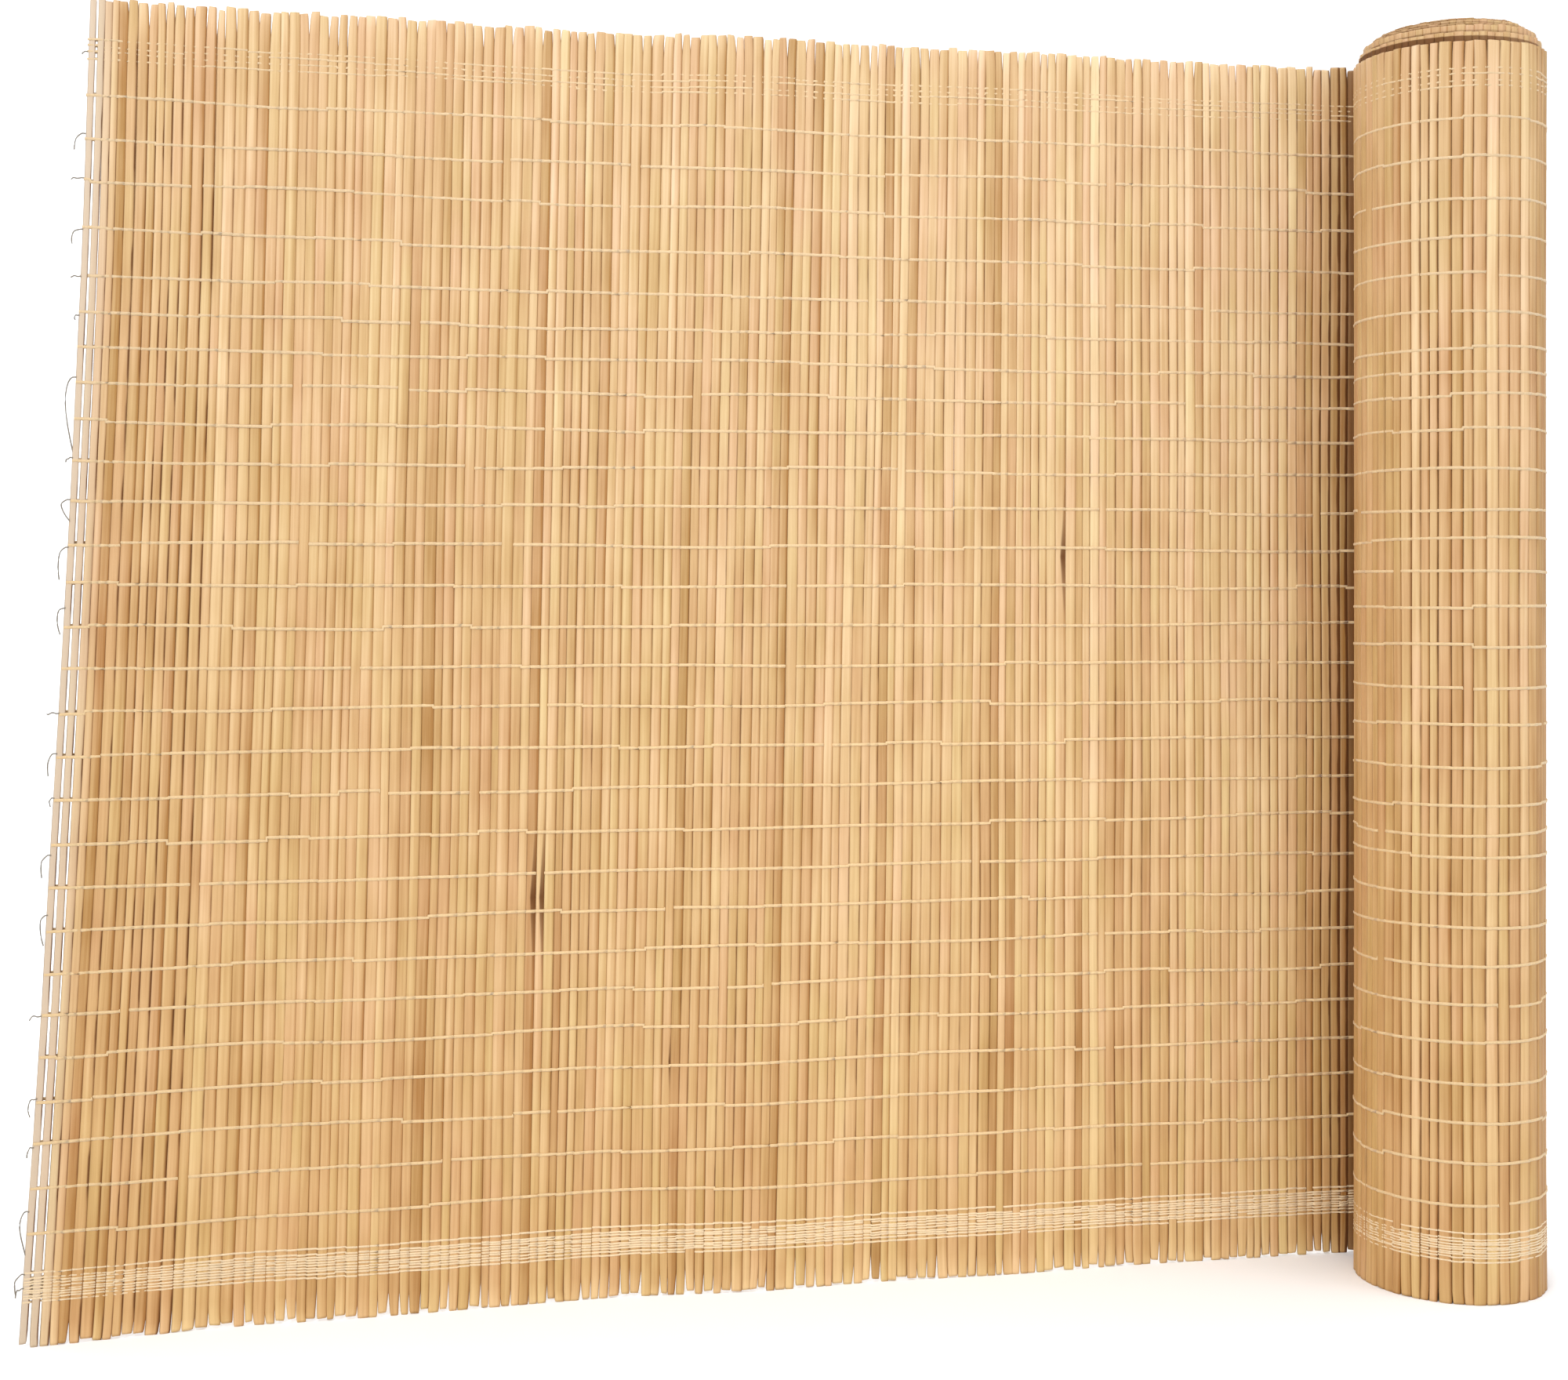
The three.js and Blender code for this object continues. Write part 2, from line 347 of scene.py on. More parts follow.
class MattingSizes(bpy.types.PropertyGroup):
    """Sizes of the slats and threads."""

    edge_round: length("Edge rounding", "Width of the rounding on a slat's long edges", 0.0009)
    crown: length("Crown", "How far a slat's face bulges between its edges", 0.00034)
    wander: length("Wander", "How far the slats stray sideways together", 0.0013)
    twist: bpy.props.FloatProperty(
        name="Twist", description="How far a slat turns along its length", default=math.radians(6),
        unit="ROTATION",
    )
    thread: length("Thread", "Width of the single threads", 0.0025)
    edge_thread: length("Edge thread", "Width of the close-set threads", 0.0016)
    eye_height: length("Eye height", "Height of the camera above the floor", 0.5526)


class MattingColours(bpy.types.PropertyGroup):
    """Colours of the slats, threads and floor."""

    pale: colour("Pale slat", "Freshly planed inner bamboo", "#E8CDA9")
    middle: colour("Middle slat", "Most of the slats", "#CCA87D")
    dark: colour("Dark slat", "Slats split from near the skin", "#A4763F")
    # Also the colour of the painted shade in the corner and of the outer turns on the inner ones
    groove: colour("Slat edge", "Rough sides of the slats, seen in the grooves", "#5E3306")
    # Painted shade: this grey stands for the shade of the thin loose slats at the free edge against the
    # bright backdrop
    grey: colour("Greyed slat", "Weathered slats at the free edge", "#C4B19B")
    thread: colour("Thread", "Cream cotton thread", "#E6C695")
    head_thread: colour("Thread near the head", "Cream thread that has dulled", "#DFC298")
    foot_thread: colour("Thread at the foot", "Paler thread of the close rows", "#F2D8B0")
    # Painted shade: this grey stands for the shade in which the thin loose ends are seen against the bright
    # backdrop
    loose_thread: colour("Loose thread", "Greyed ends of thread at the free edge", "#8E8476")
    floor: colour("Floor", "Plain pale floor and backdrop", "#FAFCFF")


# Shapes of the mat


def stray(index, purpose):
    """A steady value from 0 to 1 for each slat and purpose."""
    wave = math.sin(index * 12.9898 + purpose * 78.233) * 43758.5453
    return wave - math.floor(wave)


def either(index, purpose):
    """A steady value from -1 to 1 for each slat and purpose."""
    return 2 * stray(index, purpose) - 1


def reached(value, start, full):
    """How far a value has come from a start to the place where it counts in full, from 0 to 1."""
    return min(max((value - start) / (full - start), 0.0), 1.0)


def curve_at(rows, column, at, key="along"):
    """Smooth curve through a table's rows."""
    last = len(rows) - 1
    row = 0
    while row < last - 1 and at > rows[row + 1][key]:
        row += 1

    def slope(k):
        before, after = rows[max(k - 1, 0)], rows[min(k + 1, last)]
        return (after[column] - before[column]) / (after[key] - before[key])

    start, end = rows[row], rows[row + 1]
    span = end[key] - start[key]
    t = (at - start[key]) / span
    return (
        start[column] * (2 * t**3 - 3 * t**2 + 1)
        + end[column] * (3 * t**2 - 2 * t**3)
        + slope(row) * span * (t**3 - 2 * t**2 + t)
        + slope(row + 1) * span * (t**3 - t**2)
    )


def line_at(rows, column, at, key="along"):
    """Straight lines through a table's rows."""
    for start, end in zip(rows, rows[1:]):
        if at <= end[key]:
            t = (at - start[key]) / (end[key] - start[key])
            return start[column] + (end[column] - start[column]) * t
    return rows[-1][column]


def slat_row(count, start, end, gap, seed):
    """Start and end of each slat, with uneven widths that fill the way between two places."""
    parts = [1 + WIDTH_STRAY * either(i, seed + STRAY["width"]) for i in range(count)]
    scale = (end - start) / sum(parts)
    edge, slats = start, []
    for part in parts:
        slats.append({"start": edge + gap / 2, "end": edge + part * scale - gap / 2})
        edge += part * scale
    return slats


def on_sheet(along, height):
    """A point of the open sheet's middle plane and its normal on the shown face."""
    out = along + curve_at(FAN, "spread", along) * (0.5 - height / SHEET_SLAT_LENGTH)
    bow_share = max((along - BOW_START) / (SHEET_LENGTH - BOW_START), 0)
    out += curve_at(EDGE_BOW, "out", height, "height") * bow_share
    slope = (curve_at(PLAN, "back", out + 1) - curve_at(PLAN, "back", out - 1)) / 2
    return Vector((-out, curve_at(PLAN, "back", out), height)), Vector((-slope, -1, 0)).normalized()


def wrap_radius(angle):
    """Radius of the wound mat's middle plane at an angle from the back, clockwise and inwards."""
    wound = WRAP_PITCH * angle / (2 * math.pi)
    radius = WRAP_RADIUS - wound
    return radius + OVAL * (radius / WRAP_RADIUS) * math.cos(2 * (angle - OVAL_ANGLE))


def on_wrap(angle, height):
    """A point of the wound mat's middle plane and its outward normal."""
    normal = Vector((math.sin(angle), math.cos(angle), 0))
    pull = ROLL_PULL["ends"] + ROLL_PULL["waist"] * (1 - (2 * height / ROLL_SLAT_LENGTH - 1) ** 2)
    radius = wrap_radius(angle) - pull * abs(math.sin(angle / 2))
    return normal * radius + Vector((0, 0, height)), normal


def roll_axis():
    """Place of the roll's axis in the frame, from the solid's box and the wound outline."""
    steps = 720
    angles = [2 * math.pi * i / steps for i in range(steps)]
    outline = [Vector((math.sin(a), math.cos(a))) * wrap_radius(a) for a in angles]
    low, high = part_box("matting_roll")
    place = []
    for side in (0, 1):
        middle = (max(p[side] for p in outline) + min(p[side] for p in outline)) / 2
        place.append((low[side] + high[side]) / 2 - middle * MM)
    return Vector((place[0], place[1], 0))


def middle_of(slat):
    return (slat["start"] + slat["end"]) / 2


def open_row():
    """The slats of the open sheet, from the roll to the free end."""
    edge = SHEET_LENGTH - sum(s["gap"] + s["width"] for s in LOOSE_SLATS)
    slats = slat_row(SHEET_SLATS, CLEARANCE, edge, SLAT_GAP, SHEET_STRAY)
    for slat in LOOSE_SLATS:
        slats.append({"start": edge + slat["gap"], "end": edge + slat["gap"] + slat["width"]})
        edge += slat["gap"] + slat["width"]
    return slats


# Materials

# Inputs of a node that mixes colours, and the settings with which it multiplies one by the other
SHARE, FIRST, SECOND = 0, 6, 7
MULTIPLIED = {"data_type": "RGBA", "blend_type": "MULTIPLY", SHARE: 1.0}


def add_node(tree, kind, settings=None):
    """A shader node with its settings: links from nodes or sockets, and values of inputs or properties."""
    node = tree.nodes.new("ShaderNode" + kind)
    for name, value in (settings or {}).items():
        if isinstance(value, bpy.types.Node):
            value = next(socket for socket in value.outputs if socket.enabled)
        if isinstance(value, bpy.types.NodeSocket):
            tree.links.new(value, node.inputs[name])
        elif isinstance(name, int) or name in node.inputs:
            node.inputs[name].default_value = value
        else:
            setattr(node, name, value)
    return node


def opaque(tint):
    return (*tint, 1.0)


def with_stops(ramp, *stops):
    """A colour ramp with its places and colours."""
    elements = ramp.color_ramp.elements
    while len(elements) < len(stops):
        elements.new(0.5)
    for element, (place, tint) in zip(elements, stops):
        element.position = place
        element.color = opaque(tint)
    return ramp


def new_material(name):
    """An empty node material, and add_node for its tree."""
    material = bpy.data.materials.new(name)
    material.use_nodes = True
    material.node_tree.nodes.clear()
    return material, partial(add_node, material.node_tree)


def bamboo_material(colours):
    """Split bamboo, planed and left bare: satin, straight fibres along the slat, darker rough sides."""
    material, add = new_material("split_bamboo")
    tone, side, across, dark, grey, parted = (
        add("Attribute", {"attribute_name": name}).outputs["Fac"]
        for name in ("tone", "side", "across", "dark", "grey", "parted")
    )
    grain, place, slit = (
        add("Attribute", {"attribute_name": name}).outputs["Vector"] for name in ("grain", "place", "slit")
    )
    height = add("SeparateXYZ", {"Vector": place}).outputs["Y"]

    # Fine straight fibres, broader streaks, clouds that reach over many slats, rosy and olive slats, and
    # grooves that come and go between the threads, each with its size in mm across and along the slats
    patterns = {}
    for name, vector, width, reach, batch, detail, roughness in (
        ("fibre", grain, 0.7, 55, 1, 3.0, 0.6),
        ("streak", grain, 3.2, 160, 1, 2.0, 0.5),
        ("cloud", place, 30, 70, 0.02, 2.0, 0.5),
        ("hue", place, 11, 130, 0.3, 1.0, 0.5),
        ("cell", place, 15, 38, 0.1, 1.0, 0.5),
    ):
        spread = add("VectorMath", {"operation": "MULTIPLY", 0: vector, 1: (1 / width, 1 / reach, batch)})
        patterns[name] = add(
            "TexNoise", {"Scale": 1.0, "Detail": detail, "Roughness": roughness, "Vector": spread}
        )

    # From dark to pale, by the slat's own tone, the painted highlight and shade across it and the patterns
    profile = add(
        "MapRange", {"From Min": -0.44, "From Max": -0.16, "To Min": -1.0, "To Max": 0.15, "Value": across}
    )
    profile = add("Math", {"operation": "ADD", 0: profile, 1: across})
    shade = add("Math", {"operation": "MULTIPLY_ADD", 0: profile, 1: side, 2: tone})
    shares = {"fibre": 0.8, "streak": 1.8, "cloud": 1.2}
    for name, share in shares.items():
        shade = add("Math", {"operation": "MULTIPLY_ADD", 0: patterns[name], 1: share, 2: shade})
    halfway, reach = sum(shares.values()) / 2, 1.3
    level = add("MapRange", {"From Min": halfway - reach, "From Max": halfway + reach, "Value": shade})
    wood = with_stops(
        add("ValToRGB", {"Fac": level}), (0.0, colours.dark), (0.5, colours.middle), (1.0, colours.pale)
    )

    # Rosy and olive slats, painted shade that makes the wood darker and more golden towards the foot as the
    # light falls from above, and the loose slats' grey, which is painted shade too
    hue = with_stops(
        add("ValToRGB", {"Fac": patterns["hue"]}), (0.32, (1.0, 0.96, 0.98)), (0.68, (0.96, 1.0, 0.88))
    )
    upward = add("MapRange", {"From Max": float(SHEET_SLAT_LENGTH), "Value": height})
    golden = with_stops(
        add("ValToRGB", {"Fac": upward}), (0.0, (0.95, 0.87, 0.68)), (1.0, (1.0, 1.0, 1.0))
    )
    for layer in (hue, golden):
        wood = add("Mix", {**MULTIPLIED, FIRST: wood, SECOND: layer})
    wood = add("Mix", {"data_type": "RGBA", SHARE: grey, FIRST: wood, SECOND: opaque(colours.grey)})

    # How far a place is inside a slit: from 1 at its middle height to 0 at its ends
    slit = add("SeparateXYZ", {"Vector": slit}).outputs
    off = add("Math", {"operation": "SUBTRACT", 0: height, 1: slit["X"]})
    off = add("Math", {"operation": "ABSOLUTE", 0: off})
    in_slit = add("Math", {"operation": "MULTIPLY_ADD", "use_clamp": True, 0: off, 1: slit["Y"], 2: 1.0})

    # The rough sides show in the grooves, which are wider where they are strong and in a slit; a slit's
    # widened groove is partly painted shade of the recess
    strength = add(
        "MapRange",
        {"From Min": 0.38, "From Max": 0.62, "To Min": 0.4, "To Max": 1.15, "Value": patterns["cell"]},
    )
    strength = add("Math", {"operation": "MULTIPLY", 0: strength, 1: parted})
    widening = add("Math", {"operation": "MULTIPLY", 0: in_slit, 1: slit["Z"]})
    widening = add("Math", {"operation": "MULTIPLY_ADD", 0: strength, 1: 0.09, 2: widening})
    widened = add("Math", {"operation": "SUBTRACT", 0: across, 1: widening})
    near = add("MapRange", {"From Min": -0.36, "From Max": -0.5, "To Max": 0.95, "Value": widened})
    far = add("MapRange", {"From Min": 0.4, "From Max": 0.5, "To Max": 0.7, "Value": across})
    edges = add("Math", {"operation": "MAXIMUM", 0: near, 1: far})
    strength = add("Math", {"operation": "MAXIMUM", "use_clamp": True, 0: strength, 1: in_slit})
    groove = add("Math", {"operation": "MULTIPLY", 0: edges, 1: strength})
    # The dark layer holds painted shade, of the corner and of the outer turns on the inner ones, and the
    # darker end grain at the tips; both take the grooves' colour
    groove = add("Math", {"operation": "MAXIMUM", 0: groove, 1: dark})
    wood = add("Mix", {"data_type": "RGBA", SHARE: groove, FIRST: wood, SECOND: opaque(colours.groove)})

    # Planed faces are satin and their grooves matt
    fibre = patterns["fibre"]
    rough = add(
        "MapRange", {"From Min": 0.3, "From Max": 0.7, "To Min": 0.46, "To Max": 0.64, "Value": fibre}
    )
    rough = add("Math", {"operation": "MULTIPLY_ADD", 0: groove, 1: 0.4, 2: rough})
    bump = add("Bump", {"Strength": 0.4, "Distance": 0.00014, "Height": fibre})
    surface = add("BsdfPrincipled", {"IOR": 1.45, "Base Color": wood, "Normal": bump, "Roughness": rough})
    add("OutputMaterial", {"Surface": surface})
    return material


def thread_material(colours):
    """The cotton of the single threads and the head's threads, duller towards the head."""
    return twisted_material("cotton_thread", colours.thread, colours.head_thread)


def foot_thread_material(colours):
    """The paler cotton of the close threads at the foot."""
    return twisted_material("foot_thread", colours.foot_thread, colours.foot_thread)


def loose_thread_material(colours):
    """The ends of thread at the free edge, painted grey for the shade in which they are seen against the
    bright backdrop.
    """
    return twisted_material("loose_thread", colours.loose_thread, colours.loose_thread)


def twisted_material(name, low_tint, high_tint):
    """Twisted cotton: matt, with a faint twist along it, another colour high up, duller at both sides."""
    material, add = new_material(name)
    place = add("TexCoord").outputs["Object"]
    apart = add("SeparateXYZ", {"Vector": place}).outputs
    twist = add("TexNoise", {"Scale": 900.0, "Detail": 2.0, "Vector": place})
    shade = add("MapRange", {"From Min": 0.3, "From Max": 0.7, "To Min": 0.86, "Value": twist})
    upward = add("MapRange", {"From Min": 0.45, "From Max": 0.78, "Value": apart["Z"]})
    cotton = add(
        "Mix", {"data_type": "RGBA", SHARE: upward, FIRST: opaque(low_tint), SECOND: opaque(high_tint)}
    )
    # Duller towards both sides of the frame
    sideways = add("MapRange", {"From Min": -0.6, "From Max": 0.6, "Value": apart["X"]})
    undimmed, dull, duller = [1.0] * 3, [0.9] * 3, [0.86] * 3
    dimmed_sides = with_stops(
        add("ValToRGB", {"Fac": sideways}), (0.0, duller), (0.42, undimmed), (0.8, undimmed), (0.93, dull)
    )
    for layer in (dimmed_sides, shade):
        cotton = add("Mix", {**MULTIPLIED, FIRST: cotton, SECOND: layer})
    bump = add("Bump", {"Strength": 0.3, "Distance": 0.0001, "Height": twist})
    surface = add(
        "BsdfPrincipled", {"Base Color": cotton, "Normal": bump, "Roughness": 0.8, "Sheen Weight": 0.2}
    )
    add("OutputMaterial", {"Surface": surface})
    return material


def floor_material(colours):
    """Plain pale paper sweep."""
    material, add = new_material("pale_sweep")
    cloud = add("TexNoise", {"Scale": 3.0, "Detail": 2.0, "Vector": add("TexCoord").outputs["Object"]})
    rough = add("MapRange", {"To Min": 0.85, "To Max": 0.95, "Value": cloud})
    surface = add("BsdfPrincipled", {"Base Color": opaque(colours.floor), "Roughness": rough})
    add("OutputMaterial", {"Surface": surface})
    return material


def shared_material(name, maker):
    """The material of that name, made once."""
    return bpy.data.materials.get(name) or maker(bpy.context.scene.matting_colours)


# Slats


def smooth_mesh(bm, name):
    """A smooth mesh from a bmesh, which is freed."""
    for face in bm.faces:
        face.smooth = True
    mesh = bpy.data.meshes.new(name)
    bm.to_mesh(mesh)
    bm.free()
    return mesh


def new_object(name, data):
    """A linked object with that data."""
    item = bpy.data.objects.new(name, data)
    bpy.context.scene.collection.objects.link(item)
    return item


def slat_pattern(name, cuts_along, cuts_across, segments, sizes):
    """One slat as a mesh: a metre-long unit bar with rounded long edges, cut where it may bend."""
    bm = bmesh.new()
    bmesh.ops.create_cube(bm, size=1.0)
    width = SHEET_LENGTH / SHEET_SLATS
    bmesh.ops.scale(bm, vec=(width, SLAT_THICKNESS, 1.0), verts=bm.verts)
    long_edges = [e for e in bm.edges if abs(e.verts[0].co.z - e.verts[1].co.z) > 0.5]
    bmesh.ops.bevel(
        bm, geom=long_edges, offset=sizes.edge_round / MM, offset_type="OFFSET", affect="EDGES",
        segments=segments, profile=0.5, material=-1,
    )
    planes = [((0, 0, z - 0.5), (0, 0, 1)) for z in cuts_along]
    planes += [((x * width, 0, 0), (1, 0, 0)) for x in cuts_across]
    for place, normal in planes:
        geometry = list(bm.verts) + list(bm.edges) + list(bm.faces)
        bmesh.ops.bisect_plane(bm, geom=geometry, dist=1e-6, plane_co=place, plane_no=normal)
    bmesh.ops.scale(bm, vec=(1 / width, 1.0, 1.0), verts=bm.verts)
    bmesh.ops.translate(bm, vec=(0, 0, 0.5), verts=bm.verts)
    bmesh.ops.triangulate(bm, faces=[f for f in bm.faces if len(f.verts) > 4])
    return smooth_mesh(bm, name)


def parting(height, end, depth):
    """How far two slats have parted at a height, from 0 where the notch starts to 1 at their ends."""
    return min(max(1 - abs(height - end) / depth, 0.0), 1.0)


def cut_height(slat, up):
    """Height of a cut of the pattern on a slat: evenly along it, or at the slat's own levels."""
    if slat["levels"]:
        return slat["levels"][round(up * (len(slat["levels"]) - 1))]
    return slat["foot"] + (slat["head"] - slat["foot"]) * up


def marked(mark, height):
    """How much of a noted slat's tone shows at a height."""
    off = max(mark["low"] - height, height - mark["high"], 0.0)
    return mark["tone"] * (1 - MARK_FADE["share"] * min(off / MARK_FADE["over"], 1.0))


def own_wave(kind, number, height):
    """How far one slat swings, lifts or twists of its own at a height."""
    wave = OWN_WAVES[kind]
    place = Vector((number * wave["apart"], height / wave["height"], wave["layer"]))
    return noise.noise(place) * wave["most"]


def bend(slat, height, sizes):
    """Sideways swing, outward lift and turn of one slat at a height."""
    along = middle_of(slat) * slat["scale"]
    shared = Vector((along / SWING_WAVE["along"], height / SWING_WAVE["height"], SWING_WAVE["layer"]))
    swing = noise.noise(shared) + own_wave("swing", slat["number"], height)
    twist = slat["twist"] + own_wave("twist", slat["number"], height) * sizes.twist
    slit = slat["slit"]
    lift = slat["proud"] + own_wave("lift", slat["number"], height)
    lift -= slit["sink"] * max(1 - abs(height - slit["height"]) / slit["reach"], 0.0)
    return swing * sizes.wander / MM, lift, math.tan(twist)


def lay_slats(pattern, slats, place, sizes):
    """A bmesh of slats laid along the mat, each a bent and twisted copy of the pattern."""
    bm = bmesh.new()
    for _ in slats:
        bm.from_mesh(pattern)
    bm.verts.ensure_lookup_table()
    layers = bm.verts.layers
    float_names = ("tone", "side", "parted", "grey", "across", "dark")
    tone, side, parted, grey, width_share, dark = (layers.float.new(name) for name in float_names)
    grain, spot, slit = (layers.float_vector.new(name) for name in ("grain", "place", "slit"))
    grain_step = (37.7, 91.3)
    count = len(pattern.vertices)
    crown = sizes.crown / MM
    for i, slat in enumerate(slats):
        width = slat["end"] - slat["start"]
        middle = middle_of(slat)
        for vert in bm.verts[i * count : (i + 1) * count]:
            across, face, up = vert.co
            slant = slat["slant"] * across
            height = max(cut_height(slat, up) + slant * (2 * up - 1), 0.0)
            foot_gap = parting(height, slat["foot"], slat["foot_depth"])
            head_gap = parting(height, slat["head"], slat["head_depth"])
            narrow = 1 - foot_gap * slat["foot_open"] - head_gap * slat["head_open"]
            lean = (foot_gap**2 * slat["foot_lean"] + head_gap**2 * slat["head_lean"]) / slat["scale"]
            tip = up < 0.001 or up > 0.999
            if tip:
                narrow *= slat["tip"]
            swing, lift, turn = bend(slat, height, sizes)
            offset = across * width * narrow
            point, normal = place(middle + offset + swing / slat["scale"] + lean, height)
            bulge = math.copysign(crown * (1 - 4 * across * across), face)
            vert.co = point + normal * (lift + face + bulge + turn * offset * slat["scale"])

            # A slat's back in the corner takes a copy without most of the painted shade; the dark layer is
            # painted shade, and darker end grain at the tips
            look = slat["behind"] if slat["behind"] and face < 0 else slat
            vert[dark] = max(slat["tip_dark"] if tip else 0.0, look["hidden"](height))
            vert[tone] = look["tone"] + marked(slat["mark"], height)
            vert[tone] += slat["foot_pale"] * foot_gap + slat["head_pale"] * head_gap
            vert[grey] = slat["grey"]
            # Strength of the painted highlight and shade across the slat
            vert[side] = slat["side"]
            closed = reached(height, HEAD_CLOSED["from"], HEAD_CLOSED["from"] + HEAD_CLOSED["over"])
            vert[parted] = look["parted"] * (1 - slat["head_closed"] * closed)
            vert[slit] = (look["slit"]["height"], -1 / look["slit"]["reach"], look["slit"]["share"])
            vert[width_share] = across
            along_face = across * width * slat["scale"]
            vert[grain] = (along_face + i * grain_step[0], height + i * grain_step[1], slat["batch"])
            vert[spot] = (middle * slat["scale"], height, slat["batch"])
    return bm


def dark_all_along(share):
    """Paints shade on a slat by the same share at each height."""
    return lambda height: share


def behind_wrap(edge, share):
    """Paints shade on a slat up to where it comes out from behind the wrap outside it."""
    return lambda height: min(max((edge - height) / SHADE_FADE + 0.5, 0.0), 1.0) * share


def dress_slat(slat, i, seed, ends, tone, scale):
    """Gives a slat its ends, notches, twist and tone."""

    def share(purpose):
        return stray(i, seed + STRAY[purpose])

    def sway(purpose):
        return either(i, seed + STRAY[purpose])

    standing = share("standing") < ends["standing_share"]
    slat.update(
        number=i,
        scale=scale,
        batch=float(i % 7) * 3.0,
        foot=0.0 if standing else ends["tip_stray"] * share("foot"),
        head=ends["high"] - ends["tip_stray"] * share("head"),
        levels=None,
        proud=FACE_STRAY * sway("face"),
        slant=TIP_SLANT * sway("slant"),
        twist=SLAT_TURN * sway("twist"),
        tone=tone + SLAT_LOOKS["tone_stray"] * sway("tone"),
        side=SLAT_LOOKS["side"] + SLAT_LOOKS["side_stray"] * sway("side"),
        parted=SLAT_LOOKS["parted"] + SLAT_LOOKS["parted_stray"] * share("parted"),
        tip=0.92,
        tip_dark=0.12,
        head_closed=0.0,
        grey=0.0,
        mark=NO_MARK,
        thread=1.0,
        slit=NO_SLIT,
        hidden=dark_all_along(0.0),
        behind=None,
    )
    for end in ("foot", "head"):
        slat[end + "_depth"] = NOTCH["depth"] + NOTCH["deeper"] * share(end + "_notch")
        slat[end + "_open"] = NOTCH["open"] + NOTCH["wider"] * share(end + "_open") ** 2
        slat[end + "_lean"] = END_LEAN * sway(end + "_lean")
        slat[end + "_pale"] = 0.0


def widen(slat, cover):
    """Lets a slat cover more on both sides."""
    slat["start"] -= cover
    slat["end"] += cover


def darken_corner(slat, middle):
    """Paints the shade of the corner between the sheet and the roll on a slat's shown face, if the slat is
    there; its back keeps a copy with its tone raised and without the rest of the painted shade.
    """
    corner = reached(middle, CORNER["start"], CORNER["full"])
    if corner == 0:
        return
    deep = reached(middle, DEEP_CORNER["start"], DEEP_CORNER["full"])
    slat["behind"] = dict(slat, tone=max(slat["tone"], CORNER["back_tone"]))
    slat["parted"] = CORNER["parted"]
    slat["slit"] = dict(CORNER_SLIT, share=CORNER_SLIT["share"] * corner)
    slat["hidden"] = dark_all_along(CORNER["shade"] * corner + DEEP_CORNER["shade"] * deep)


def open_slats():
    """The dressed slats of the open sheet."""
    slats = open_row()
    for i, slat in enumerate(slats):
        middle = middle_of(slat)
        dress_slat(slat, i, SHEET_STRAY, SHEET_ENDS, line_at(TONES, "tone", middle), 1.0)
        for end, (pale, strays) in PALE_ENDS.items():
            slat[end + "_pale"] = pale + strays * either(i, SHEET_STRAY + STRAY[end + "_pale"])
        slat["head_closed"] = HEAD_CLOSED["share"]
        if i < SHEET_SLATS:
            widen(slat, SHEET_COVER)
        else:
            loose = LOOSE_SLATS[i - SHEET_SLATS]
            slat.update(foot_open=0.05, head_open=0.02, head_pale=0.0, grey=loose["grey"], parted=0.55)
            slat.update(head_depth=LOOSE_LEAN_DEPTH, head_lean=-loose["lean"])
        for noted in NOTED_SLATS:
            if slat["start"] < noted["along"] < slat["end"]:
                slat["mark"] = noted
                slat["tone"] *= 0.5
        for slit in SLITS:
            if slat["start"] < slit["along"] < slat["end"]:
                slat["slit"] = slit
        darken_corner(slat, middle)
        looks = {name: line_at(SHEET_LOOKS, name, middle) for name in SHEET_LOOKS[0]}
        slat["parted"] = max(slat["parted"] * looks["parted"], looks["least"])
        slat["side"] *= looks["side"]
        slat["thread"] = looks["thread"]
    return slats


def outer_slats():
    """The dressed slats of the outer wrap, laid by their angle."""
    slats = slat_row(ROLL_SLATS, 0, 2 * math.pi, SLAT_GAP / WRAP_RADIUS, ROLL_STRAY)
    for i, slat in enumerate(slats):
        angle = math.degrees(middle_of(slat))
        looks = {name: line_at(WRAP_LOOKS, name, angle, "angle") for name in WRAP_LOOKS[0]}
        dress_slat(slat, i, ROLL_STRAY, ROLL_ENDS, looks["tone"], WRAP_RADIUS)
        slat["parted"] = looks["parted"]
        slat["parted"] += WRAP_PARTED_STRAY * either(i, ROLL_STRAY + STRAY["wrap_parted"])
        slat["side"] = looks["side"]
        slat["thread"] = looks["thread"]
        for noted in NOTED_WRAP_SLATS:
            if math.degrees(slat["start"]) < noted["angle"] < math.degrees(slat["end"]):
                slat["tone"] = noted["tone"]
        widen(slat, WRAP_COVER / WRAP_RADIUS)
        slat["foot_open"] *= 0.2
        slat["head_open"] *= 0.2
        slat["tip"] = 0.96
    return slats


